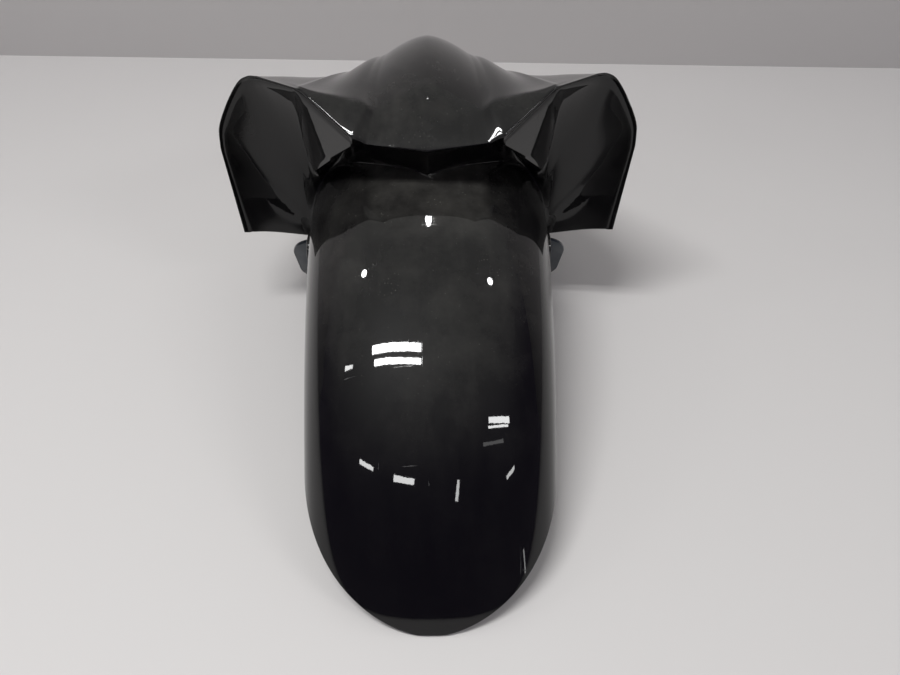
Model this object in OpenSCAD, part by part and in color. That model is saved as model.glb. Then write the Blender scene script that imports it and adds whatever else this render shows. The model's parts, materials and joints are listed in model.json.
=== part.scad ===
// Front mudguard of a sports motorcycle, moulded in one piece.
// It stands on the tip of its long tongue and on the two lobes under its fork covers.
// Distances back are measured from the tip of the tongue, heights from the floor.

/* [Moulding] */
// Wall thickness
wall = 3; // [2.5:0.25:3.5]
// Overall length, from the tip of the tongue to the far end
length = 530; // [510:1:560]

/* [Wheel] */
// Radius of the crown of the tongue about the wheel axle
crown_r = 317; // [310:1:325]
// Angle about the axle from the tip of the tongue to the top of the wheel
tip_angle = 60; // [58:0.5:62]

/* [Tongue] */
// Half width of the tongue near its tip
tongue_w = 80; // [76:0.5:83]
// Half width of the tongue where it meets the fork covers
root_w = 91; // [88:0.5:93]
// Depth of the flanks near the tip
tip_depth = 40; // [34:1:44]
// Depth of the flanks at the fork covers
root_depth = 80; // [76:1:84]
// Length of the rounded tip along the crown
tip_len = 120; // [100:1:140]
// Half width of the blunt end of the tip
tip_flat = 10; // [6:0.5:13]
// Squareness of the section, where 2 is an ellipse
squareness = 2.4; // [2.1:0.05:2.8]

/* [Step] */
// Angle before the top of the wheel at which the step starts, on the centre line
step_angle = 4.2; // [3:0.1:6]
// Angle by which the step runs away from the tip toward the flanks
step_sweep = 8; // [7:0.1:9]
// Height of the cowl's edge above the foot of the step
step_rise = 30; // [26:0.5:36]
// Distance by which the cowl's edge hangs over the foot of the step
step_overhang = 16; // [10:0.5:20]

/* [Cowl] */
// Half width of the cowl's edge
cowl_w = 49; // [46:0.5:52]
// Width of the chamfer at each end of the cowl's edge
cowl_chamfer = 9; // [6:0.5:12]
// Height gained by the cowl's edge from its point to its corners
cowl_corner_rise = 7.5; // [5:0.5:10]
// Height of the crest of the cowl above its edge
cowl_crest = 28; // [24:0.5:32]

/* [Fork covers] */
// Half width between the inner ends of their top edges
cover_in_w = 83; // [79:0.5:88]
// Height of the inner ends of their top edges
cover_in_h = 216; // [210:0.5:222]
// Distance back of the inner ends of their top edges
cover_in_y = 268; // [262:0.5:272]
// Half width at their highest points
cover_top_w = 121; // [116:0.5:125]
// Height of their highest points
cover_top_h = 220; // [216:0.5:226]
// Half width at their widest points
cover_out_w = 147; // [142:0.5:152]
// Height of their widest points
cover_out_h = 174; // [166:0.5:182]
// Half width at their bottom corners
cover_low_w = 141.5; // [137:0.5:146]
// Height of their bottom corners
cover_low_h = 92; // [88:0.5:98]
// Distance back of their free edges
cover_y = 281; // [277:0.5:285]
// Depth of the hollow for the fork leg, behind the free edge
scoop_depth = 12; // [6:0.5:16]
// Height of the bottom corner of the flat facet beside the cowl
facet_h = 144; // [140:0.5:150]
// Length taken by each rounded corner of the free edge
corner_len = 9; // [6:0.5:12]

/* [Far end] */
// Half width of the far end between its corners
end_w = 60; // [52:0.5:66]
// Length of its rounding
end_len = 38; // [28:0.5:46]
// Height of its middle
end_h = 60; // [52:0.5:70]
// Drop from its middle to its corners
end_drop = 12; // [6:0.5:18]

/* [Lobes] */
// Half width to the outside of the lobes
lobe_out_w = 113; // [110:0.5:117]
// Half width to the inside of the lobes
lobe_in_w = 76; // [74:0.5:78]
// Height of the wide part of the lobes
lobe_h = 70; // [64:0.5:74]
// Radius of their rounded corners
lobe_r = 15; // [12:0.5:18]
// Width of the neck that carries them
neck_w = 20; // [18:0.5:24]
// Lean of the lobes away from the tongue, in degrees
lobe_lean = 24; // [20:0.5:26]

/* [Bolting lugs] */
// Distance back of the bolt line, which is the middle of the fork leg
bolt_y = 258; // [254:0.5:262]
// Height of the upper bolt
bolt_h = 92; // [90:0.5:94]
// Spacing of the two bolts on each side
bolt_gap = 30; // [26:0.5:34]
// Diameter of the bolt holes
bolt_d = 6.6; // [5.5:0.1:8.5]
// Radius of the lug round each bolt
lug_r = 11; // [10:0.5:13]
// Half width over the outer faces of the lugs
lug_w = 90; // [89:0.25:91]
// Thickness of the lugs
lug_t = 8; // [7:0.25:9]

/* [Hidden] */
$fn = 48;

axle_y = crown_r * sin(tip_angle);
axle_z = -(crown_r - wall) * cos(tip_angle);
tongue_rows = 24;
step_rows = 6;
cowl_rows = 20;
// The last few millimetres behind a sharp edge are solid on the inside
edge_solid = 10;

// Directions and lengths in which the outer skin leaves the edge of the step and covers,
// at the crest, the cowl's corner, the inner end, the top, the widest point and the bottom
leave = [
    [0, 65, 2 * cowl_crest],
    [-5, 52, 22],
    [2, 50, -27],
    [-4, 45, -25],
    [-8, 50, -10],
    [-10, 50, -15],
];
// How the outer skin comes down on the far end: sideways, lengthways and upward
land_side = 28;
land_back = 77;
land_up = 148;

// Small tools on points and curves
function unit(v) = v / max(norm(v), 0.000001);
function mix(a, b, t) = a + (b - a) * t;
function flip(p) = [-p.x, p.y, p.z];
function bend(a, b, c, t) = mix(mix(a, b, t), mix(b, c, t), t);
function cubic(a, b, c, d, t) = mix(bend(a, b, c, t), bend(b, c, d, t), t);
function ease(t) = t * t * (3 - 2 * t);

// The tongue: an arc about the axle that carries a rounded section with upright flanks
function climb(a) = min(1, (tip_angle - a) / tip_angle);
function half_width(a) = mix(tongue_w, root_w, pow(climb(a), 1.6));
function flank_depth(a) = mix(tip_depth, root_depth, climb(a));
power = 2 / squareness;
tip_reach = asin(pow(tip_flat / tongue_w, 1 / power));
// How far down its flanks the section goes, in degrees: the tip has none, the rest all of them
function reach(a) =
    let(run = crown_r * (tip_angle - a) * PI / 180, s = min(1, run / tip_len))
    max(tip_reach, 90 * pow(1 - pow(1 - s, 1.3), 0.71));
function tongue_point(a, k) =
    let(q = k * reach(a),
        r = crown_r - flank_depth(a) * (1 - pow(cos(q), power)))
    [half_width(a) * pow(sin(q), power), axle_y - r * sin(a), axle_z + r * cos(a)];

// The foot of the step is a V on the centre line and swings back toward the flanks
sweep = [[0, 0], [0.06, 0.2], [0.12, 0.32], [0.19, 0.44], [0.26, 0.57], [0.33, 0.73], [0.4, 0.9],
    [0.48, 1.08], [0.56, 1.14], [0.66, 1.1], [1, 1]];
function foot_angle(k) = step_angle - step_sweep * lookup(k, sweep);
foot_mid = tongue_point(step_angle, 0);

// The free edge, from the point of the cowl out and round the fork cover to its bottom
cowl_point = foot_mid + [0, -step_overhang, step_rise];
cowl_end_in = cowl_point + [cowl_w - cowl_chamfer, 3, cowl_corner_rise / 2];
cowl_corner = cowl_point + [cowl_w, 5, cowl_corner_rise];
cover_in = [cover_in_w, cover_in_y, cover_in_h];
cover_top = [cover_top_w, cover_y + 3, cover_top_h];
cover_out = [cover_out_w, cover_y - 1, cover_out_h];
cover_low = [cover_low_w, cover_y - 3, cover_low_h];
top_in = cover_top + corner_len * unit(cover_in - cover_top);
top_out = cover_top + corner_len * unit(cover_out - cover_top);
out_in = cover_out + corner_len * unit(cover_top - cover_out);
out_out = cover_out + corner_len * unit(cover_low - cover_out);
edge = [
    for (t = [0:5]) mix(cowl_point, cowl_end_in, t / 5),
    for (t = [0:3]) mix(cowl_corner, cover_in, t / 3),
    for (t = [0.15, 0.55, 1]) mix(cover_in, top_in, t),
    for (t = [1:4]) bend(top_in, cover_top, top_out, t / 4),
    for (t = [1:2]) mix(top_out, out_in, t / 2),
    for (t = [1:2]) bend(out_in, cover_out, out_out, t / 2),
    for (t = [1:4]) mix(out_out, cover_low, t / 4),
];
columns = len(edge) - 1;

// Place of each column on the tongue's section: the columns of the covers share its flank
function share(j) = lookup(j, [[0, 0], [5, 0.38], [6, 0.47], [9, 0.66], [10, 0.73], [columns, 1]]);
// Value between two of the six marked columns: 0, 6, 9, 14, 19 and the last
marks = [0, 6, 9, 14, 19, columns];
function leaving(j, m = 0) =
    j > marks[m + 1] ? leaving(j, m + 1) :
    let(t = (j - marks[m]) / (marks[m + 1] - marks[m]))
    mix(leave[m], leave[m + 1], m == 0 ? pow(t, 1.3) : ease(t));

// The wall of the step and the hollow faces of the covers, from the foot to the free edge
// Beside the cowl a flat facet comes down to the lip, and the wall turns under it
facet_low = [cover_in_w, cover_y - 1, facet_h];
function lip(j) = mix(cowl_corner + [0, 1, -6], facet_low, (j - 6) / 3);
function step_point(j, t) =
    let(foot = tongue_point(foot_angle(share(j)), share(j)))
    j >= 6 && j <= 9 ? (
        t > 0.5 ? mix(lip(j), edge[j], 2 * t - 1) :
        bend(foot, [mix(foot.x, lip(j).x, 0.5), foot.y, mix(foot.z, lip(j).z, 0.5)], lip(j), 2 * t)
    ) :
    let(wing = j < 6 ? 0 : mix(1, 0.1, ease(max(0, (j - 19) / (columns - 19)))),
        deep = mix(mix(foot.y, edge[j].y, 0.3), cover_y + scoop_depth, wing),
        side = j == 10 ? 4 : 0,
        low = mix(foot, edge[j], 0.3),
        high = mix(foot, edge[j], 0.7))
    cubic(foot, [low.x + side, deep, low.z], [high.x + side, deep, high.z], edge[j], t);

// The cowl and the outsides of the covers, from the free edge to the rim of the far end
function cowl_end(j) =
    let(q = 90 * j / columns)
    [end_w * sin(q), length - end_len * (1 - cos(q)), end_h - end_drop * (1 - cos(q))];
function cowl_curve(j, t) =
    let(q = 90 * j / columns,
        rim = cowl_end(j),
        land = [land_side * sin(q), -land_back, land_up * pow(cos(q), 1.5)])
    cubic(edge[j], edge[j] + leaving(j), rim + land, rim, t);
// A crease runs from the chamfers of the cowl to the covers and fades out behind them.
// Each line of it says how far the crease stands off the plain curve at a column.
ridge_start = 0.12;
ridge = [[0, 0, 0], [-2.7, 0, 3.4], [-8.2, -1, 5.6], [-7.8, -3.8, 4], [-6.8, -10, 7],
    [1.3, -17, 9.5], [0.5, -7, 4], [0, 0, 0]];
function cowl_skin(j, t) =
    let(off = j > 4 && j < 11 ? ridge[j - 4] : [0, 0, 0],
        left = (1 - t) / (1 - ridge_start))
    cowl_curve(j, t) + (t > ridge_start ? pow(left, 7) : t / ridge_start) * off;
function cowl_share(i) = i <= 2 ? ridge_start * i / 2 : mix(ridge_start, 1, (i - 2) / (cowl_rows - 2));
function step_share(i, solid) = i <= 3 ? i / 6 : mix(0.5, 1 - solid, (i - 3) / 3);

// Half a row of the skin, from the centre line to the free edge.
// gap keeps the rows of the step that far from the free edge, for the inner skin.
function half_row(i, gap) =
    [for (j = [0:columns])
        i < tongue_rows ?
            let(k = share(j), s = pow(i / tongue_rows, 1.5))
            tongue_point(mix(tip_angle, foot_angle(k), s), k) :
        i < tongue_rows + step_rows ?
            let(foot = tongue_point(foot_angle(share(j)), share(j)),
                solid = min(0.35, gap / norm(edge[j] - foot)))
            step_point(j, step_share(i - tongue_rows, solid)) :
        cowl_skin(j, cowl_share(i - tongue_rows - step_rows))];
function full_row(half) =
    [for (j = [columns:-1:1]) flip(half[j]), each half];
function skin(gap) =
    [for (i = [0:tongue_rows + step_rows + cowl_rows]) full_row(half_row(i, gap))];

// Outward direction of the small face between rows i, i + 1 and columns j, j + 1
function facing(g, i, j) =
    unit(cross(g[i + 1][j + 1] - g[i][j], g[i + 1][j] - g[i][j + 1]));
// Point of the inner skin: one wall in from the outer skin, and further in at an edge
function inner_point(g, i, j) =
    let(near = [for (a = [max(0, i - 1):min(len(g) - 2, i)])
                for (b = [max(0, j - 1):min(len(g[0]) - 2, j)]) facing(g, a, b)],
        out = unit([for (n = near) 1] * near),
        slope = min([for (n = near) n * out]))
    g[i][j] - wall / max(0.42, slope) * out;

module shell() {
    outer = skin(0);
    base = skin(edge_solid);
    rows = len(outer);
    cols = len(outer[0]);
    inner = [for (i = [0:rows - 1]) [for (j = [0:cols - 1]) inner_point(base, i, j)]];
    size = rows * cols;
    function at(i, j) = i * cols + j;
    points = [for (r = outer) each r, for (r = inner) each r];
    skins = [for (i = [0:rows - 2]) for (j = [0:cols - 2])
        let(a = at(i, j), b = at(i, j + 1), c = at(i + 1, j + 1), d = at(i + 1, j))
        each [[a, c, b], [a, d, c], [size + a, size + b, size + c], [size + a, size + c, size + d]]];
    rim = concat(
        [for (j = [0:cols - 2]) [at(0, j), at(0, j + 1)]],
        [for (i = [0:rows - 2]) [at(i, cols - 1), at(i + 1, cols - 1)]],
        [for (j = [cols - 1:-1:1]) [at(rows - 1, j), at(rows - 1, j - 1)]],
        [for (i = [rows - 1:-1:1]) [at(i, 0), at(i - 1, 0)]]);
    rims = [for (e = rim) each [[e[0], e[1], size + e[0]], [e[1], size + e[1], size + e[0]]]];
    polyhedron(points, concat(skins, rims), convexity = 8);
}

// A lobe hangs from the bottom of a cover and ends on the floor
module lobe() {
    slant = 1 / cos(lobe_lean);
    top = cover_low_h * slant;
    translate([0, cover_y + scoop_depth + cover_low_h * tan(lobe_lean), wall * sin(lobe_lean)])
        rotate([90 + lobe_lean, 0, 0])
            linear_extrude(wall) {
                hull() {
                    translate([lobe_out_w - lobe_r, lobe_h - lobe_r]) circle(lobe_r);
                    translate([lobe_out_w - lobe_r - 4, lobe_r]) circle(lobe_r);
                    translate([lobe_in_w + lobe_r, lobe_r]) circle(lobe_r);
                }
                translate([lobe_in_w, lobe_r]) square([neck_w, top - lobe_r - 4]);
            }
}

// A lug thickens the flank round the two bolts and hangs below it
module lug() {
    translate([lug_w - lug_t, bolt_y, 0]) rotate([90, 0, 90])
        linear_extrude(lug_t) hull() {
            translate([0, bolt_h]) circle(lug_r);
            translate([0, bolt_h - bolt_gap]) circle(lug_r);
        }
}

module bolt_holes() {
    for (h = [bolt_h, bolt_h - bolt_gap])
        translate([0, bolt_y, h]) rotate([0, 90, 0])
            cylinder(h = 4 * root_w, d = bolt_d, center = true);
}

module mudguard() {
    color("#101012") translate([0, -length / 2, 0])
        difference() {
            union() {
                shell();
                for (side = [0, 1]) mirror([side, 0, 0]) {
                    lobe();
                    lug();
                }
            }
            bolt_holes();
        }
}

mudguard();
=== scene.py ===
"""Looks of a gloss black motorcycle front mudguard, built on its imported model.

Sizes of the moulding are in millimetres, counted back from the tip of the tongue, like those
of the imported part. The finished meshes, the stage, the lamps and the camera are in metres.
"""
import json
import math

import bpy
import numpy as np
from mathutils import Matrix, Vector

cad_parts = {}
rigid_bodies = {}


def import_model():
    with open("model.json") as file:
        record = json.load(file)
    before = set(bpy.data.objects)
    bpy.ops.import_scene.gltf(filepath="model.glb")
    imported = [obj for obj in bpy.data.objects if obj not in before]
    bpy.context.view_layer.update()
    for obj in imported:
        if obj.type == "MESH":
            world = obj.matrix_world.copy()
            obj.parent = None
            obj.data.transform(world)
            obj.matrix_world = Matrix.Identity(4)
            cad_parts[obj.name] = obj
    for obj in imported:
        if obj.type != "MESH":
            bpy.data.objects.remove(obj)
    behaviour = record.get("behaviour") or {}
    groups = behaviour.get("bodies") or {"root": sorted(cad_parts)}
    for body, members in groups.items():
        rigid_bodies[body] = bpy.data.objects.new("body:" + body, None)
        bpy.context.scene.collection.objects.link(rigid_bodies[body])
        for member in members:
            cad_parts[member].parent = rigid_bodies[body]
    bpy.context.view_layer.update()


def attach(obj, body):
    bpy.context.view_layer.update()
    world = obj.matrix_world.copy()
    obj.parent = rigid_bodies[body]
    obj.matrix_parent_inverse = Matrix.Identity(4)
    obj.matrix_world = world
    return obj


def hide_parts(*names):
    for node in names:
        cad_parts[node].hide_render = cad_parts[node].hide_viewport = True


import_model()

# ---------------------------------------------------------------- sizes of the moulding, mm
WALL = 3.0
LENGTH = 530.0
CROWN_R = 317.0
TIP_ANGLE = 60.0
# half widths and depths of the tongue at its tip and at its root
TONGUE_W, ROOT_W = 80.0, 91.0
TIP_DEPTH, ROOT_DEPTH = 40.0, 80.0
ROOT_WIDENING = 1.6
# the tip rounds off over this length, in a curve with these two powers
TIP_LEN, TIP_ROUND = 120.0, 0.5
TIP_POWERS = 1.3, 0.71
SQUARENESS = 2.4
# angle of the step's foot on the crown, and how far it sweeps forward down the flanks, as
# (share of the section, share of the sweep)
STEP_ANGLE, STEP_SWEEP = 4.2, 8.0
SWEEP = ((0, 0), (0.06, 0.2), (0.12, 0.32), (0.19, 0.44), (0.26, 0.57), (0.33, 0.73),
         (0.4, 0.9), (0.48, 1.08), (0.56, 1.14), (0.66, 1.1), (1, 1))
STEP_RISE, STEP_OVERHANG = 30.0, 16.0
COWL_W, COWL_CHAMFER, COWL_CORNER_RISE, COWL_CREST = 49.0, 9.0, 7.5, 28.0
COWL_END_BACK, COWL_CORNER_BACK = 3, 5
# corners of the covers' free edge
COVER_IN = (83.0, 268.0, 216.0)
COVER_TOP = (121.0, 284.0, 220.0)
COVER_OUT = (147.0, 280.0, 174.0)
COVER_LOW = (141.5, 278.0, 92.0)
SCOOP_Y = 281.0 + 12.0
# lower end of the flat facet beside the cowl, the height of its lip, and the groove beside it
FACET_LOW = (83.0, 280.0, 144.0)
LIP_DROP = (0, 1, -6)
GROOVE = 4.0
# rounding of the covers' corners, and the bow of their outer edge
CORNER_LEN, EDGE_BOW = 9.0, 3.0
BOW_WAY, BOW_SIDE = (0.87, 0, 0.49), 0.6
BOW_PLACES = (12, 14, 15.5, 17, 18.3, 19.3, 20)
# far end of the cowl
END_W, END_LEN, END_H, END_DROP = 60.0, 38.0, 60.0, 12.0
# columns of the skins run from 0 on the centre line to LAST on the flank. At the marked ones,
# direction and length in which the outer skin leaves the free edge
LEAVE = ((0, 65, 2 * COWL_CREST), (-5, 52, 22), (2, 50, -27), (-4, 45, -25), (-8, 50, -10),
         (-10, 50, -15))
MARKS = (0, 6, 9, 14, 19, 24)
LAST = 24
# how far the crease beside the free edge stands off the cowl: (column, x, y, z)
RIDGE_START, RIDGE_FADE = 0.12, 7
RIDGE = ((3, 0, 0, 0), (4, -0.5, -0.2, 0.8), (5, -3.2, -1, 3.6), (6, -7.2, -2.4, 6),
         (7, -7.8, -5.2, 5), (8, -6.8, -11, 7.6), (9, 1.3, -17, 9.5), (10, 0.5, -7, 4), (11, 0, 0, 0))
# handle of the cowl's curve at its far end
LAND_SIDE, LAND_BACK, LAND_UP = 28.0, 77.0, 148.0
LOBE_OUT, LOBE_IN, LOBE_H, LOBE_R, LOBE_IN_R = 113.0, 76.0, 70.0, 21.0, 12.0
LOBE_NARROWING, NECK_W = 1.0, 20.0
LOBE_LEAN = math.radians(24)
NECK_FILLET = 8.0
BOLT_Y, BOLT_H, BOLT_GAP, BOLT_D = 258.0, 92.0, 30.0, 6.6
LUG_R, LUG_W, LUG_T = 11.0, 90.0, 8.0
BAR_REACH, BAR_SIDES = 120, 48

# finish of the edges, mm
FOOT_ROUND, FOOT_BLEND, FOOT_BLEND_COLUMNS = 2.0, 9.0, 1.1
COWL_ROUND, COVER_ROUND = 0.9, 1.6
PLATE_BEVEL = 0.6
# distance from the free edge and depth of the groove that runs along it
GROOVE_PROFILE = ((6.0, 0), (5.0, 0.3), (4.2, 0.6), (3.4, 0.55), (2.7, 0.15))
# the inner skin keeps this far below the free edge, and starts here under the cowl
EDGE_SOLID, COWL_INSIDE_START = 10.0, 0.06
# the rim is drawn in by RIM_ROUND, with rows at these shares of the wall
RIM_ROUND = 0.7
RIM_SHARES = (0.22, 0.5, 0.78)
# where faces meet, the inner skin moves in by no more than the wall over this
CORNER_LIMIT = 0.42
SHARP_ANGLE = math.radians(32)

# rows and columns of the skins
TONGUE_ROWS, STEP_ROWS, FACET_ROWS, COWL_ROWS, TURN_ROWS = 90, 24, 12, 64, 5
COLUMN_SPANS = ((0, 4.88, 18), (4.88, 5.12, 2), (5.12, 5.88, 4), (5.88, 6.12, 2),
                (6.12, 8.88, 12), (8.88, 9.12, 2), (9.12, 9.88, 4), (9.88, 10.12, 2),
                (10.12, 12, 7), (12, 16, 10), (16, 18, 7), (18, 20, 8), (20, 24, 12))
MM = 0.001


# ---------------------------------------------------------------- small tools
def mix(a, b, t):
    return a + (b - a) * t


def bend(a, b, c, t):
    return mix(mix(a, b, t), mix(b, c, t), t)


def cubic(a, b, c, d, t):
    return mix(bend(a, b, c, t), bend(b, c, d, t), t)


def ease(t):
    return t * t * (3 - 2 * t)


def length_of(v):
    return np.linalg.norm(v, axis=-1, keepdims=True)


def unit(v):
    return v / np.maximum(length_of(v), 1e-9)


def sind(a):
    return np.sin(np.radians(a))


def cosd(a):
    return np.cos(np.radians(a))


# ---------------------------------------------------------------- skin of the tongue
AXLE_Y = CROWN_R * sind(TIP_ANGLE)
AXLE_Z = -(CROWN_R - WALL) * cosd(TIP_ANGLE)
POWER = 2 / SQUARENESS


def reach(angle):
    """How far down its flanks the section goes at an angle about the axle, in degrees."""
    along = (CROWN_R * np.radians(TIP_ANGLE - angle) + TIP_ROUND) / TIP_LEN
    rise, fall = TIP_POWERS
    return 90 * (1 - (1 - np.minimum(1, along)) ** rise) ** fall


def tongue_point(angle, share):
    """Point of the tongue at an angle about the axle and a share of the section's reach."""
    climb = np.minimum(1, (TIP_ANGLE - angle) / TIP_ANGLE)
    q = share * reach(angle)
    radius = CROWN_R - mix(TIP_DEPTH, ROOT_DEPTH, climb) * (1 - np.maximum(cosd(q), 0) ** POWER)
    width = mix(TONGUE_W, ROOT_W, np.maximum(climb, 0) ** ROOT_WIDENING) * sind(q) ** POWER
    return np.stack([width, AXLE_Y - radius * sind(angle), AXLE_Z + radius * cosd(angle)], -1)


def smooth_table(x, table):
    """A smooth curve through the points of a table."""
    tx, ty = np.array(table, float).T
    slope = np.diff(ty) / np.diff(tx)
    tangent = np.concatenate([slope[:1], (slope[1:] + slope[:-1]) / 2, slope[-1:]])
    i = np.clip(np.searchsorted(tx, x, side="right") - 1, 0, len(tx) - 2)
    step = tx[i + 1] - tx[i]
    u = (x - tx[i]) / step
    return ((1 + 2 * u) * (1 - u) ** 2 * ty[i] + u * (1 - u) ** 2 * step * tangent[i]
            + u * u * (3 - 2 * u) * ty[i + 1] + u * u * (u - 1) * step * tangent[i + 1])


def foot_angle(share):
    """Angle about the axle at which the tongue meets the step."""
    return STEP_ANGLE - STEP_SWEEP * smooth_table(share, SWEEP)


# ---------------------------------------------------------------- free edge of cowl and covers
def edge_corners():
    """The corners of the free edge, and the ends of its two rounded corners."""
    middle = tongue_point(np.array(STEP_ANGLE), np.array(0.0))
    point = middle + (0, -STEP_OVERHANG, STEP_RISE)
    end = point + (COWL_W - COWL_CHAMFER, COWL_END_BACK, COWL_CORNER_RISE / 2)
    corner = point + (COWL_W, COWL_CORNER_BACK, COWL_CORNER_RISE)
    inner, top, out, low = (np.array(p) for p in (COVER_IN, COVER_TOP, COVER_OUT, COVER_LOW))
    return (point, end, corner, inner, top + CORNER_LEN * unit(inner - top), top,
            top + CORNER_LEN * unit(out - top), out + CORNER_LEN * unit(top - out), out,
            out + CORNER_LEN * unit(low - out), low)


def edge_point(c, corners):
    """Point of the free edge at column c, from 0 on the centre line to 24 at its bottom."""
    point, end, corner, inner, top_in, top, top_out, out_in, out, out_out, low = corners
    if c <= 5:
        return mix(point, end, c / 5)
    if c <= 6:
        return mix(end, corner, c - 5)
    if c <= 9:
        return mix(corner, inner, (c - 6) / 3)
    if c <= 12:
        return mix(inner, top_in, np.interp(c, (9, 10, 11, 12), (0, 0.15, 0.55, 1)))
    if c <= 20:
        bow = EDGE_BOW * np.array(BOW_WAY)
        ring = (top_in, bend(top_in, top, top_out, 0.5), top_out + BOW_SIDE * bow,
                mix(top_out, out_in, 0.5) + bow, out_in + BOW_SIDE * bow,
                bend(out_in, out, out_out, 0.5), out_out)
        return np.array([smooth_table(c, list(zip(BOW_PLACES, row))) for row in np.array(ring).T])
    return mix(out_out, low, (c - 20) / 4)


def leaving(c):
    """Direction and length in which the outer skin leaves the free edge at column c."""
    m = min(sum(c > mark for mark in MARKS[1:]), 4)
    t = (c - MARKS[m]) / (MARKS[m + 1] - MARKS[m])
    return mix(np.array(LEAVE[m], float), np.array(LEAVE[m + 1], float),
               t ** 1.3 if m == 0 else ease(t))


def column_places():
    """The columns of a skin, closer together where it folds."""
    places = [0.0]
    for low, high, count in COLUMN_SPANS:
        places += [mix(low, high, (i + 1) / count) for i in range(count)]
    return np.array(places)


C = column_places()
CORNERS = edge_corners()
EDGE = np.array([edge_point(c, CORNERS) for c in C])
LEAVING = np.array([leaving(c) for c in C])
SHARE = np.interp(C, (0, 5, 6, 9, 10, LAST), (0, 0.38, 0.47, 0.66, 0.73, 1))
FOOT = tongue_point(foot_angle(SHARE), SHARE)
ROUND = np.interp(C, (0, 6, 9, LAST), (COWL_ROUND, COWL_ROUND, COVER_ROUND, COVER_ROUND))
FOOT_TURN = FOOT_ROUND + FOOT_BLEND * np.exp(-(C / FOOT_BLEND_COLUMNS) ** 2)
FOLD = np.interp(C, (5, 6, 9, 10), (0, 1, 1, 0))[:, None]


# ---------------------------------------------------------------- step, covers and cowl
def step_handles():
    """The two handles of the curve from the foot of the step to the free edge."""
    wing = np.where(C < 8, 0, mix(1, 0.1, ease(np.clip((C - 19) / 5, 0, 1))))
    deep = mix(mix(FOOT[:, 1], EDGE[:, 1], 0.3), SCOOP_Y, wing)
    low, high = mix(FOOT, EDGE, 0.3), mix(FOOT, EDGE, 0.7)
    low[:, 1] = high[:, 1] = deep
    aside = np.interp(C, (8.9, 9, 10, 11), (0, GROOVE, GROOVE, 0))
    low[:, 0] += aside
    high[:, 0] += aside
    return low, high


def lips():
    """The lip under the flat facet beside the cowl, and the handle below it."""
    corner, low = CORNERS[2], np.array(FACET_LOW)
    share = np.clip((C - 6) / 3, 0, 1)[:, None]
    lip = mix(corner + LIP_DROP, low, share)
    lip += np.where(C < 6, 1, 0)[:, None] * (EDGE - corner)
    lip += np.where(C > 9, 1, 0)[:, None] * (EDGE - np.array(COVER_IN))
    middle = mix(FOOT, lip, 0.5)
    middle[:, 1] = FOOT[:, 1]
    return lip, middle


STEP_LOW, STEP_HIGH = step_handles()
LIP, UNDER_LIP = lips()
STEP_SOLID = np.minimum(0.35, EDGE_SOLID / length_of(EDGE - FOOT))


def step_row(t):
    """Row of the step's wall and the covers' faces: a hollow curve, or a facet and its lip."""
    t = np.broadcast_to(np.asarray(t, float), (len(C), 1))
    hollow = cubic(FOOT, STEP_LOW, STEP_HIGH, EDGE, t)
    facet = np.where(t > 0.5, mix(LIP, EDGE, 2 * t - 1), bend(FOOT, UNDER_LIP, LIP, 2 * t))
    return mix(hollow, facet, FOLD)


def end_rim():
    """The rim of the cowl's far end, and the handles with which the skin reaches it."""
    q = 90 * C / LAST
    rim = np.stack([END_W * sind(q), LENGTH - END_LEN * (1 - cosd(q)),
                    END_H - END_DROP * (1 - cosd(q))], -1)
    land = np.stack([LAND_SIDE * sind(q), np.full_like(q, -LAND_BACK),
                     LAND_UP * np.maximum(cosd(q), 0) ** 1.5], -1)
    return rim, rim + land


END_RIM, END_HANDLE = end_rim()
RIDGE_OFF = np.stack([np.interp(C, *np.array(RIDGE, float).T[[0, k]]) for k in (1, 2, 3)], -1)


def cowl_row(t):
    """Row of the cowl and the covers' outsides. A crease stands off the curve near the edge."""
    t = np.broadcast_to(np.asarray(t, float), (len(C), 1))
    left = np.clip((1 - t) / (1 - RIDGE_START), 0, 1)
    share = np.where(t > RIDGE_START, left ** RIDGE_FADE, t / RIDGE_START)
    return cubic(EDGE, EDGE + LEAVING, END_HANDLE, END_RIM, t) + share * RIDGE_OFF


# ---------------------------------------------------------------- the two skins
def tongue_rows():
    """Rows of the tongue, and the small round at the foot of the step."""
    foot = foot_angle(SHARE)
    turn = np.degrees(FOOT_TURN / CROWN_R)
    tip = TIP_ANGLE - np.degrees(TIP_ROUND / CROWN_R) * SHARE ** 2
    rows = [tongue_point(mix(tip, foot + turn, (i / TONGUE_ROWS) ** 1.5), SHARE)
            for i in range(TONGUE_ROWS)]
    start = tongue_point(foot + turn, SHARE)
    end = step_row(foot_share())
    return rows + [bend(start, FOOT, end, i / (TURN_ROWS - 1)) for i in range(TURN_ROWS)]


def foot_share():
    """Share of the step's curve that the round at its foot takes up."""
    speed = mix(3 * length_of(STEP_LOW - FOOT), 4 * length_of(UNDER_LIP - FOOT), FOLD)
    return np.minimum(0.3, FOOT_ROUND / np.maximum(speed, 12))


def two_spans(start, middle, end, first, second):
    """Shares from just after start to just before end, with one exactly at the middle."""
    low = [mix(start, middle, (i + 1) / first) for i in range(first)]
    return low + [mix(middle, end, (i + 1) / (second + 1)) for i in range(second)]


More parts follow.
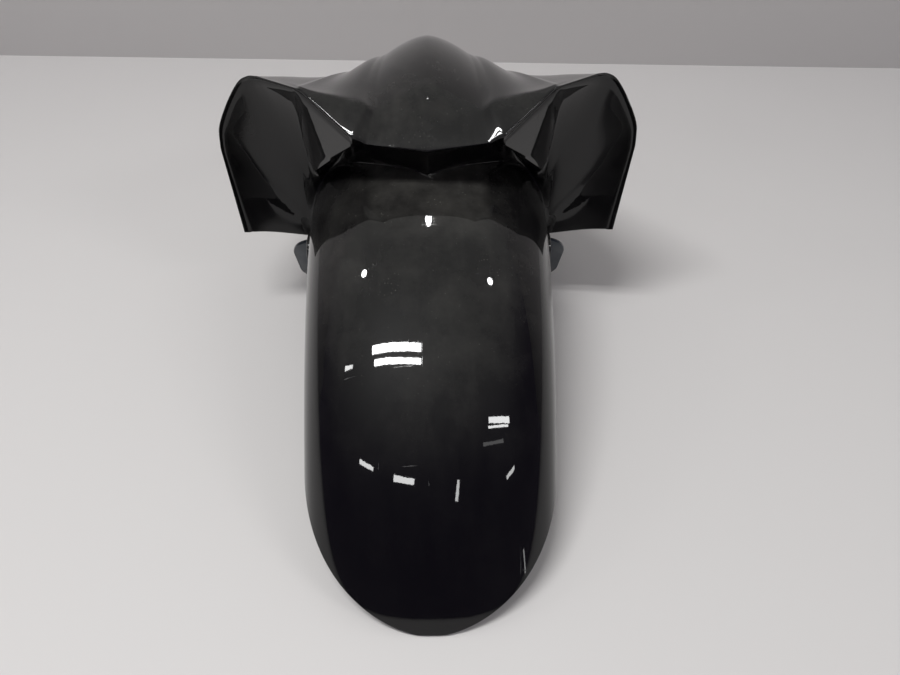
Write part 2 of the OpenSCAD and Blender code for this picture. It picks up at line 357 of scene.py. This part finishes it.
def outer_half():
    """Rows of the outer skin from the tip to the far end, one half of it."""
    half = STEP_ROWS // 2
    before = ROUND[:, None] / (3 * length_of(EDGE - STEP_HIGH))
    before = mix(before, ROUND[:, None] / (2 * length_of(EDGE - LIP)), FOLD)
    after = ROUND[:, None] / length_of(3 * LEAVING + RIDGE_OFF / RIDGE_START)
    start = 1 - before * GROOVE_PROFILE[0][0] / ROUND[:, None]
    steps = [step_row(t) for t in two_spans(foot_share(), 0.5, start, half, half)]
    steps += [step_row(1 - before * far / ROUND[:, None]) + deep * rim_inward()
              for far, deep in GROOVE_PROFILE]
    turn = [bend(step_row(1 - before), EDGE, cowl_row(after), i / (TURN_ROWS - 1))
            for i in range(TURN_ROWS)]
    near = [cowl_row(mix(after, RIDGE_START, (i + 1) / FACET_ROWS)) for i in range(FACET_ROWS)]
    cowl = [cowl_row(mix(RIDGE_START, 1, (i + 1) / COWL_ROWS)) for i in range(COWL_ROWS)]
    tongue = tongue_rows()
    rows = np.array(tongue + steps + turn + near + cowl)
    ease_row(rows, len(tongue) + half - 1)
    ease_row(rows, len(tongue + steps + turn + near) - 1)
    for c in (5, 6, 9, 10):
        ease_column(rows, int(np.argmin(abs(C - c))))
    return rows


def rim_inward():
    """The way into the wall along the free edge, 0 where the edge has no groove beside it."""
    across = np.cross(np.gradient(EDGE, axis=0), EDGE - step_row(0.94))
    into = unit(across) * np.sign((across * LEAVING).sum(-1, keepdims=True))
    return into * np.interp(C, (5.5, 6.5), (0, 1))[:, None]


def ease_row(grid, i):
    """A row drawn half way to its neighbours, so that it doesn't show as an edge."""
    grid[i] = mix(grid[i], (grid[i - 1] + grid[i + 1]) / 2, 0.5)


def ease_column(grid, j):
    grid[:, j] = mix(grid[:, j], (grid[:, j - 1] + grid[:, j + 1]) / 2, 0.5)


def inner_base_half():
    """Rows under the outer skin that keep clear of the free edge, as many as that skin has."""
    half = STEP_ROWS // 2
    more = TURN_ROWS - 1 + len(GROOVE_PROFILE)
    shares = two_spans(foot_share(), 0.5, 1 - STEP_SOLID, half, half + more)
    steps = [step_row(t) for t in shares]
    cowl = [cowl_row(mix(COWL_INSIDE_START, 1, i / (FACET_ROWS + COWL_ROWS - 1)))
            for i in range(FACET_ROWS + COWL_ROWS)]
    return np.array(tongue_rows() + steps + [EDGE] + cowl)


def whole(half):
    """A half grid and its mirror image, from the left flank to the right one."""
    return np.concatenate([half[:, :0:-1] * (-1, 1, 1), half], axis=1)


def one_wall_in(grid):
    """The grid moved inward by the wall, and further where its faces meet at an angle."""
    facing = unit(np.cross(grid[1:, 1:] - grid[:-1, :-1], grid[1:, :-1] - grid[:-1, 1:]))
    around = np.zeros((4,) + grid.shape)
    around[0, :-1, :-1] = facing
    around[1, 1:, :-1] = facing
    around[2, :-1, 1:] = facing
    around[3, 1:, 1:] = facing
    out = unit(around.sum(0))
    slope = (around * out).sum(-1)
    slope[length_of(around)[..., 0] < 0.5] = 1
    return grid - WALL / np.maximum(CORNER_LIMIT, slope.min(0))[..., None] * out


def pull_in(grid, by):
    """The outermost rows and columns drawn in a little, so that the rim can be rounded."""
    g = grid.copy()
    g[:, 0] += by * unit(grid[:, 1] - grid[:, 0])
    g[:, -1] += by * unit(grid[:, -2] - grid[:, -1])
    g[0] += by * unit(grid[1] - grid[0])
    g[-1] += by * unit(grid[-2] - grid[-1])
    return g


# ---------------------------------------------------------------- meshes
def make_mesh(name, points, faces, inside_faces=()):
    """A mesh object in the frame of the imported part, in metres, from millimetres."""
    shifted = (np.asarray(points) - (0, LENGTH / 2, 0)) * MM
    mesh = bpy.data.meshes.new(name)
    mesh.from_pydata([tuple(p) for p in shifted], [], [tuple(int(k) for k in f) for f in faces])
    mesh.validate()
    obj = bpy.data.objects.new(name, mesh)
    bpy.context.scene.collection.objects.link(obj)
    inside = np.zeros(len(mesh.polygons), np.int32)
    inside[list(inside_faces)] = 1
    mesh.polygons.foreach_set("material_index", inside)
    return obj


def grid_faces(rows, cols, start, turned):
    i, j = np.meshgrid(np.arange(rows - 1), np.arange(cols - 1), indexing="ij")
    a = start + i * cols + j
    quad = (a, a + 1, a + cols + 1, a + cols)
    return np.stack(quad[::-1] if turned else quad, -1).reshape(-1, 4)


def rim_loop(rows, cols):
    """Places of the points round the edge of a grid, in order."""
    first = [(0, j) for j in range(cols - 1)]
    right = [(i, cols - 1) for i in range(rows - 1)]
    last = [(rows - 1, j) for j in range(cols - 1, 0, -1)]
    left = [(i, 0) for i in range(rows - 1, 0, -1)]
    return first + right + last + left


def shell():
    """The thin shell of tongue, step, covers and cowl, closed by a rounded rim."""
    outer = whole(outer_half())
    inner = one_wall_in(whole(inner_base_half()))
    rows, cols = outer.shape[:2]
    size = rows * cols
    loop = rim_loop(rows, cols)
    round_points = []
    for share in RIM_SHARES:
        round_points.append([mix(outer[p], inner[p], share) for p in loop])
    points = np.concatenate([pull_in(outer, RIM_ROUND).reshape(-1, 3),
                             pull_in(inner, RIM_ROUND).reshape(-1, 3)] + round_points)
    out_faces = grid_faces(rows, cols, 0, False)
    in_faces = grid_faces(rows, cols, size, True)
    count = len(loop)
    outer_ids = [i * cols + j for i, j in loop]
    strips = [outer_ids] + [list(range(2 * size + k * count, 2 * size + (k + 1) * count))
                            for k in range(len(RIM_SHARES))] + [[size + k for k in outer_ids]]
    rim_faces = []
    for one, two in zip(strips, strips[1:]):
        rim_faces += [(one[k], two[k], two[(k + 1) % count], one[(k + 1) % count])
                      for k in range(count)]
    faces = np.concatenate([out_faces, in_faces, np.array(rim_faces)])
    inside = range(len(out_faces), len(out_faces) + len(in_faces))
    return make_mesh("shell", points, faces, inside)


def arc(cx, cy, r, start, end, count):
    a = np.radians(np.linspace(start, end, count))
    return [(cx + r * x, cy + r * y) for x, y in zip(np.cos(a), np.sin(a))]


def inset(outline, by):
    """The outline, anticlockwise, drawn in by a distance."""
    p = np.array(outline)
    ahead = unit(np.roll(p, -1, 0) - p)
    behind = unit(p - np.roll(p, 1, 0))
    normal = unit(np.stack([-(ahead + behind)[:, 1], (ahead + behind)[:, 0]], -1))
    return p + by * normal


def slab(outline, thick, bevel, place):
    """Points and faces of a plate with rounded edges. place puts (x, y, z) where it belongs."""
    levels = ((bevel, 0), (bevel * 0.3, bevel * 0.3), (0, bevel), (0, thick - bevel),
              (bevel * 0.3, thick - bevel * 0.3), (bevel, thick))
    count = len(outline)
    points = np.concatenate([[place(x, y, z) for x, y in inset(outline, by)]
                             for by, z in levels])
    faces = [tuple(range(count))[::-1],
             tuple(range(count * (len(levels) - 1), count * len(levels)))]
    for k in range(len(levels) - 1):
        faces += [(k * count + i, k * count + (i + 1) % count,
                   (k + 1) * count + (i + 1) % count, (k + 1) * count + i)
                  for i in range(count)]
    return points, faces


def lobe_outline():
    """The lobe and its neck, flat, going anticlockwise from the inside of its bottom."""
    high = (LOBE_OUT - LOBE_R, LOBE_H - LOBE_R)
    low = high[0] - LOBE_NARROWING
    slant = math.degrees(math.atan2(-LOBE_NARROWING, LOBE_H - 2 * LOBE_R))
    neck_x = LOBE_IN + NECK_W
    aside = neck_x + NECK_FILLET - high[0]
    rise = math.sqrt((LOBE_R + NECK_FILLET) ** 2 - aside ** 2)
    meet = math.degrees(math.atan2(rise, aside))
    top = COVER_LOW[2] / math.cos(LOBE_LEAN) - 4
    return (arc(LOBE_IN + LOBE_IN_R, LOBE_IN_R, LOBE_IN_R, 180, 270, 12)
            + arc(low, LOBE_R, LOBE_R, 270, 360 + slant, 12)
            + arc(*high, LOBE_R, slant, meet, 12)
            + arc(neck_x + NECK_FILLET, high[1] + rise, NECK_FILLET, meet + 180, 180, 8)
            + [(neck_x, top), (LOBE_IN, top)])


def lobe(side):
    """The lobe under the right cover, or under the left one where side is -1."""
    base_y = SCOOP_Y + COVER_LOW[2] * math.tan(LOBE_LEAN)
    base_z = WALL * math.sin(LOBE_LEAN)
    s, c = math.sin(LOBE_LEAN), math.cos(LOBE_LEAN)

    def place(x, h, z):
        return (side * x, base_y - h * s - z * c, base_z + h * c - z * s)
    points, faces = slab(lobe_outline(), WALL, PLATE_BEVEL, place)
    return make_mesh("lobe", points, faces if side > 0 else [f[::-1] for f in faces])


def lug(side):
    """The bolting lug on one flank."""
    outline = (arc(BOLT_Y, BOLT_H, LUG_R, 0, 180, 24)
               + arc(BOLT_Y, BOLT_H - BOLT_GAP, LUG_R, 180, 360, 24))

    def place(y, z, x):
        return (side * (LUG_W - LUG_T + x), y, z)
    points, faces = slab(outline, LUG_T, PLATE_BEVEL, place)
    return make_mesh("lug", points, faces if side > 0 else [f[::-1] for f in faces])


def bolt_cutter():
    """Round bars through both flanks at the bolt holes."""
    points, faces = [], []
    for height in (BOLT_H, BOLT_H - BOLT_GAP):
        ring = arc(BOLT_Y, height, BOLT_D / 2, 0, 360 - 360 / BAR_SIDES, BAR_SIDES)
        near = len(points)
        far = near + BAR_SIDES
        points += [(x, y, z) for x in (-BAR_REACH, BAR_REACH) for y, z in ring]
        faces += [tuple(range(near, far))[::-1], tuple(range(far, far + BAR_SIDES))]
        faces += [(near + i, near + (i + 1) % BAR_SIDES, far + (i + 1) % BAR_SIDES, far + i)
                  for i in range(BAR_SIDES)]
    return make_mesh("bolt_cutter", points, faces)


def cut(obj, cutter):
    """obj with the cutter taken away from it, as a plain mesh."""
    step = obj.modifiers.new("holes", "BOOLEAN")
    step.operation = "DIFFERENCE"
    step.solver = "EXACT"
    step.object = cutter
    graph = bpy.context.evaluated_depsgraph_get()
    mesh = bpy.data.meshes.new_from_object(obj.evaluated_get(graph))
    obj.modifiers.clear()
    obj.data = mesh
    return obj


def join(parts, name):
    """The parts as one object."""
    for o in bpy.context.scene.objects:
        o.select_set(o in parts)
    bpy.context.view_layer.objects.active = parts[0]
    bpy.ops.object.join()
    parts[0].name = name
    return parts[0]


def build_moulding(paint, raw):
    """The whole moulding as one piece, painted outside and bare inside."""
    cutter = bolt_cutter()
    body = shell()
    lugs = [lug(1), lug(-1)]
    lobes = [lobe(1), lobe(-1)]
    for o in [cutter, body] + lugs + lobes:
        o.data.materials.append(paint)
        o.data.materials.append(raw)
    for o in [body] + lugs:
        cut(o, cutter)
    bpy.data.objects.remove(cutter)
    piece = join([body] + lugs + lobes, "moulding")
    piece.data.polygons.foreach_set("use_smooth", [True] * len(piece.data.polygons))
    piece.data.set_sharp_from_angle(angle=SHARP_ANGLE)
    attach(piece, "root")
    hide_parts("mudguard")


# ---------------------------------------------------------------- materials
PAINT = (0.0022, 0.0021, 0.0026, 1)
# painted reflection: a lighter bluish colour on the two lobes
LOBE_PAINTED_REFLECTION = (0.020, 0.030, 0.042, 1)
DUST_COLOR = (0.17, 0.165, 0.15, 1)
BARE_PLASTIC = (0.014, 0.014, 0.015, 1)
COAT_IOR, COAT_ROUGHNESS = 1.43, 0.022
# share of dust in the film where hands or cloth have been, share of a thin even pale film all over
# that lifts the blacks, and share of dust at the step's foot
FILM, THIN_FILM, FOOT_DUST = 0.075, 0.022, 0.17
# heights between which the film of dust comes in, m
DUST_FROM_TO = (0.075, 0.125)
# where the painted bluish reflection on the lobes comes in, m: aside of the flanks, below the covers,
# past y
LOBES_FROM_X, LOBES_TO_Z, LOBES_FROM_Y = (0.091, 0.094), (0.074, 0.078), (0.0, 0.01)
# where the dust at the step's foot ends, m: aside, in front of it, above it
FOOT_DUST_X, FOOT_DUST_Y, FOOT_DUST_Z = (0.036, 0.043), (-0.075, -0.035), (0.16, 0.164)


class Nodes:
    """Short names for the nodes of one material."""

    def __init__(self, name):
        self.material = bpy.data.materials.new(name)
        self.material.use_nodes = True
        self.tree = self.material.node_tree
        self.shader = self.tree.nodes["Principled BSDF"]

    def add(self, kind, **inputs):
        node = self.tree.nodes.new(kind)
        for key, value in inputs.items():
            self.feed(node.inputs[key.replace("_", " ")], value)
        return node

    def feed(self, socket, value):
        if isinstance(value, bpy.types.NodeSocket):
            self.tree.links.new(value, socket)
        else:
            socket.default_value = value

    def place(self):
        return self.add("ShaderNodeTexCoord").outputs["Object"]

    def noise(self, where, scale, detail=2.0, roughness=0.5):
        node = self.add("ShaderNodeTexNoise", Vector=where, Scale=scale, Detail=detail,
                        Roughness=roughness)
        return node.outputs["Fac"]

    def stretch(self, where, scale, turn):
        node = self.add("ShaderNodeMapping", Vector=where, Scale=scale, Rotation=turn)
        return node.outputs["Vector"]

    def ramp(self, value, low, high, to_low=0.0, to_high=1.0):
        node = self.tree.nodes.new("ShaderNodeMapRange")
        for socket, v in zip(node.inputs, (value, low, high, to_low, to_high)):
            self.feed(socket, v)
        return node.outputs["Result"]

    def math(self, operation, *values):
        node = self.tree.nodes.new("ShaderNodeMath")
        node.operation = operation
        for socket, value in zip(node.inputs, values):
            self.feed(socket, value)
        return node.outputs["Value"]

    def blend(self, share, one, two):
        """The colour one, going over to the colour two."""
        node = self.tree.nodes.new("ShaderNodeMix")
        node.data_type = "RGBA"
        self.feed(node.inputs["Factor"], share)
        colors = [socket for socket in node.inputs if socket.type == "RGBA"]
        self.feed(colors[0], one)
        self.feed(colors[1], two)
        return next(socket for socket in node.outputs if socket.type == "RGBA")

    def split(self, where):
        return self.add("ShaderNodeSeparateXYZ", Vector=where).outputs

    def dusty_part(self, where):
        """1 high up where the skin faces up and dust settles, down to 0.15 elsewhere."""
        normal = self.tree.nodes.new("ShaderNodeNewGeometry").outputs["Normal"]
        facing_up = self.ramp(self.split(normal)["Z"], 0.2, 0.8, 0.3, 1.0)
        high = self.ramp(self.split(where)["Z"], *DUST_FROM_TO, 0.15, 1.0)
        return self.math("MULTIPLY", high, facing_up)

    def lobes(self, where):
        """1 on the two lobes, where a painted bluish reflection goes into the colour."""
        x, y, z = self.split(where)
        return self.math("MULTIPLY", self.ramp(self.math("ABSOLUTE", x), *LOBES_FROM_X),
                         self.math("MULTIPLY", self.ramp(z, *LOBES_TO_Z, 1, 0),
                                   self.ramp(y, *LOBES_FROM_Y)))

    def foot_dust(self, where):
        """The film of dust that has gathered on the tongue in front of the step's middle."""
        x, y, z = self.split(where)
        across = self.ramp(self.math("ABSOLUTE", x), *FOOT_DUST_X, 1.0, 0.0)
        along = self.math("MULTIPLY", self.ramp(y, *FOOT_DUST_Y), self.ramp(z, *FOOT_DUST_Z, 1, 0))
        patches = self.ramp(self.noise(where, 60.0, 6, 0.6), 0.35, 0.7, 0.35, 1.0)
        return self.math("MULTIPLY", self.math("MULTIPLY", across, along),
                         self.math("MULTIPLY", patches, FOOT_DUST))

    def bump(self, height, strength, distance):
        node = self.add("ShaderNodeBump", Height=height, Strength=strength, Distance=distance)
        return node.outputs["Normal"]

    def set(self, **inputs):
        for key, value in inputs.items():
            self.feed(self.shader.inputs[key.replace("_", " ")], value)


def gloss_black():
    """Deep black gloss with a trace of orange peel, wiping marks, fine scratches and dust."""
    m = Nodes("gloss_black")
    where = m.place()
    upper = m.dusty_part(where)
    specks = m.tree.nodes.new("ShaderNodeTexVoronoi")
    m.feed(specks.inputs["Vector"], where)
    m.feed(specks.inputs["Scale"], 420.0)
    size = m.math("MULTIPLY", m.ramp(m.noise(where, 90.0), 0.45, 0.75, 0.0, 0.2), upper)
    dust = m.math("LESS_THAN", specks.outputs["Distance"], size)
    wipes = m.ramp(m.noise(m.stretch(where, (14, 3, 3), (0, 0, 0.6)), 3.0, 6, 0.6), 0.5, 0.8)
    lines = m.noise(m.stretch(where, (900, 12, 12), (0.1, 0.2, 0.5)), 1.0, 3, 0.6)
    cross = m.noise(m.stretch(where, (12, 700, 12), (0.2, 0.1, -0.35)), 1.0, 3, 0.6)
    scratch = m.math("ADD", m.ramp(lines, 0.68, 0.74), m.ramp(cross, 0.7, 0.76))
    peel = m.noise(where, 260.0, 2)
    height = m.math("ADD", m.math("MULTIPLY", peel, 0.35), m.math("MULTIPLY", scratch, -0.5))
    patches = m.ramp(m.noise(where, 22.0, 8, 0.68), 0.44, 0.66, 0, FILM)
    # THIN_FILM lifts the blacks of the upper parts evenly
    film = m.math("ADD", m.math("MULTIPLY_ADD", wipes, FILM, patches), THIN_FILM)
    film = m.math("ADD", m.math("MULTIPLY", film, upper), m.foot_dust(where))
    # the lobes get a painted bluish reflection in their colour
    paint = m.blend(m.lobes(where), PAINT, LOBE_PAINTED_REFLECTION)
    m.set(IOR=1.5, Specular_IOR_Level=0.04, Roughness=m.ramp(wipes, 0, 1, 0.4, 0.5),
          Base_Color=m.blend(m.math("ADD", film, m.math("MULTIPLY", dust, 0.35)),
                             paint, DUST_COLOR),
          Coat_Weight=1.0, Coat_IOR=COAT_IOR, Coat_Roughness=COAT_ROUGHNESS)
    m.feed(m.shader.inputs["Coat Normal"], m.bump(height, 0.05, 0.0004))
    return m.material


def raw_black():
    """Bare black plastic on the inside, with a fine grain."""
    m = Nodes("raw_black")
    where = m.place()
    grain = m.noise(where, 1500.0, 3)
    tone = m.ramp(m.noise(where, 22.0, 4), 0.3, 0.7, 0.44, 0.56)
    m.set(Base_Color=BARE_PLASTIC, Roughness=tone, IOR=1.5,
          Normal=m.bump(grain, 0.25, 0.0003))
    return m.material


def plain(name, color, roughness):
    """A material of one colour, for the stage."""
    m = Nodes(name)
    m.set(Base_Color=color, Roughness=roughness, Specular_IOR_Level=0.3)
    return m.material


# ---------------------------------------------------------------- stage
FLOOR_COLOR = (0.68, 0.665, 0.655, 1)
WALL_COLOR = (0.52, 0.505, 0.495, 1)
# half width of floor and wall, and the floor's end behind the wall, m
STAGE_SIDE, STAGE_END = 6, 3
# where the wall stands behind the part, its turn in degrees and its height
WALL_Y, WALL_TURN, WALL_HIGH = 0.484, -2.77, 0.75


def panel(name, corners, material):
    """A flat four-sided sheet."""
    mesh = bpy.data.meshes.new(name)
    mesh.from_pydata(corners, [], [(0, 1, 2, 3)])
    mesh.materials.append(material)
    obj = bpy.data.objects.new(name, mesh)
    bpy.context.scene.collection.objects.link(obj)
    return obj


def build_stage():
    """A pale floor and a low grey wall behind the part."""
    side = STAGE_SIDE
    floor = panel("floor", [(-side, -side, 0), (side, -side, 0), (side, STAGE_END, 0),
                            (-side, STAGE_END, 0)],
                  plain("pale_floor", FLOOR_COLOR, 0.55))
    lean = math.tan(math.radians(WALL_TURN))
    near, far = WALL_Y - side * lean, WALL_Y + side * lean
    wall = panel("wall", [(-side, near, 0), (side, far, 0), (side, far, WALL_HIGH),
                          (-side, near, WALL_HIGH)],
                 plain("grey_wall", WALL_COLOR, 0.6))


# ---------------------------------------------------------------- light and camera
# name: point on the mudguard that shows it, directions to its two ends, thickness over the
# distance, brightness
LAMPS = {
    "tube_1": ((-0.020, -0.140, 0.121), (-0.49, -0.15, 0.86), (-0.03, -0.21, 0.98), 0.049, 53),
    "tube_2": ((-0.020, -0.147, 0.117), (-0.47, -0.22, 0.86), (-0.03, -0.28, 0.96), 0.035, 53),
    "tube_left": ((-0.049, -0.146, 0.110), (-0.80, -0.08, 0.59), (-0.71, -0.13, 0.69), 0.020, 24),
    "tube_right": ((0.041, -0.175, 0.0945), (0.48, -0.47, 0.74), (0.73, -0.35, 0.59), 0.032, 24),
    "tube_right_2": ((0.041, -0.178, 0.092), (0.47, -0.50, 0.72), (0.71, -0.38, 0.59), 0.012, 24),
    "tube_right_3": ((0.038, -0.186, 0.088), (0.41, -0.59, 0.70), (0.64, -0.47, 0.59), 0.017, 2),
    "low_left": ((-0.038, -0.196, 0.080), (-0.61, -0.56, 0.56), (-0.45, -0.66, 0.61), 0.024, 20),
    "low_middle": ((-0.016, -0.204, 0.076), (-0.25, -0.74, 0.63), (-0.08, -0.77, 0.63), 0.034, 20),
    "low_right": ((0.048, -0.198, 0.074), (0.66, -0.59, 0.47), (0.76, -0.48, 0.43), 0.019, 14),
    "low_strip": ((0.014, -0.209, 0.072), (0.15, -0.83, 0.55), (0.17, -0.75, 0.63), 0.021, 14),
    "side_strip": ((0.058, -0.233, 0.031), (0.77, -0.63, -0.03), (0.79, -0.61, 0.09), 0.023, 5),
    "glint_left": ((-0.040, -0.090, 0.139), (-0.59, 0.28, 0.76), (-0.52, 0.28, 0.81), 0.055, 110),
    "glint_right": ((0.038, -0.097, 0.137), (0.48, 0.22, 0.85), (0.55, 0.22, 0.81), 0.055, 110),
    "lamp_back": ((0.0, -0.050, 0.154), (0.0, 0.56, 0.83), (0.0, 0.43, 0.90), 0.045, 100),
}
LAMP_DISTANCE = 1.7
# the lamps that are small spots close by: (half angle of the beam in degrees, distance)
SPOTS = {"glint_left": (3.4, 0.3), "glint_right": (3.4, 0.3), "lamp_back": (4.1, 0.2)}

# light of the room: (level, colour) of its dark side behind the camera and of its ceiling
ROOM_DARK = (0.032, (0.95, 0.60, 1.7, 1))
ROOM_LIGHT = (0.46, (1.0, 1.0, 0.97, 1))
ROOM_TOWARD = (-0.12, 0.45, 1.0)
ROOM_FROM_TO = (0.25, 1.0)

# the camera's place in metres, its tilt and roll in degrees, its lens in mm, and how far the
# middle of its picture is moved aside, as a share of its width
CAMERA_PLACE = (0, -0.4781, 0.4685)
CAMERA_TILT, CAMERA_ROLL = 45, -0.45
CAMERA_LENS, CAMERA_SHIFT = 32, (450 - 429.5) / 900


def lamp(name, place, along, facing, width, height, brightness):
    """A flat lamp at place, stretched along a direction. brightness is its radiance."""
    beam = math.radians(SPOTS[name][0] if name in SPOTS else 90)
    if name in SPOTS:
        brightness *= (math.tan(beam) - beam) / math.tan(beam)
    data = bpy.data.lights.new(name, "AREA")
    data.shape = "ELLIPSE" if name in SPOTS else "RECTANGLE"
    data.size, data.size_y = width, height
    data.energy = brightness * math.pi * width * height
    data.spread = 2 * beam
    obj = bpy.data.objects.new(name, data)
    bpy.context.scene.collection.objects.link(obj)
    back = -facing.normalized()
    side = (along - back * back.dot(along)).normalized()
    turn = Matrix((side, back.cross(side), back)).transposed().to_4x4()
    obj.matrix_world = Matrix.Translation(place) @ turn


def build_lamps():
    """Every lamp at its distance, along the line that its two directions give."""
    for name, (point, start, end, height, brightness) in LAMPS.items():
        away = SPOTS[name][1] if name in SPOTS else LAMP_DISTANCE
        start, end = Vector(start).normalized() * away, Vector(end).normalized() * away
        middle = (start + end) / 2
        lamp(name, Vector(point) + middle, end - start, -middle, (end - start).length,
             height * away, brightness)


def build_world():
    """A room whose ceiling and far side are lit, and whose side behind the camera is dark."""
    world = bpy.data.worlds.new("room")
    bpy.context.scene.world = world
    world.use_nodes = True
    nodes, links = world.node_tree.nodes, world.node_tree.links
    where = nodes.new("ShaderNodeTexCoord").outputs["Generated"]
    toward = nodes.new("ShaderNodeVectorMath")
    toward.operation = "DOT_PRODUCT"
    links.new(where, toward.inputs[0])
    toward.inputs[1].default_value = ROOM_TOWARD
    share = nodes.new("ShaderNodeMapRange")
    share.interpolation_type = "SMOOTHSTEP"
    share.inputs["From Min"].default_value, share.inputs["From Max"].default_value = ROOM_FROM_TO
    links.new(toward.outputs["Value"], share.inputs["Value"])
    tone = nodes.new("ShaderNodeMix")
    tone.data_type = "RGBA"
    links.new(share.outputs["Result"], tone.inputs["Factor"])
    colors = [socket for socket in tone.inputs if socket.type == "RGBA"]
    for socket, (level, color) in zip(colors, (ROOM_DARK, ROOM_LIGHT)):
        socket.default_value = tuple(level * c for c in color[:3]) + (1,)
    result = next(socket for socket in tone.outputs if socket.type == "RGBA")
    links.new(result, nodes["Background"].inputs["Color"])


def build_camera():
    data = bpy.data.cameras.new("camera")
    data.sensor_width = 36
    data.lens = CAMERA_LENS
    data.shift_x = CAMERA_SHIFT
    data.clip_start, data.clip_end = 0.01, 50
    camera = bpy.data.objects.new("camera", data)
    bpy.context.scene.collection.objects.link(camera)
    camera.matrix_world = (Matrix.Translation(CAMERA_PLACE)
                           @ Matrix.Rotation(math.radians(CAMERA_TILT), 4, "X")
                           @ Matrix.Rotation(math.radians(CAMERA_ROLL), 4, "Z"))
    bpy.context.scene.camera = camera


def main():
    build_moulding(gloss_black(), raw_black())
    build_stage()
    build_lamps()
    build_world()
    build_camera()
    bpy.context.scene.view_settings.view_transform = "Standard"


main()
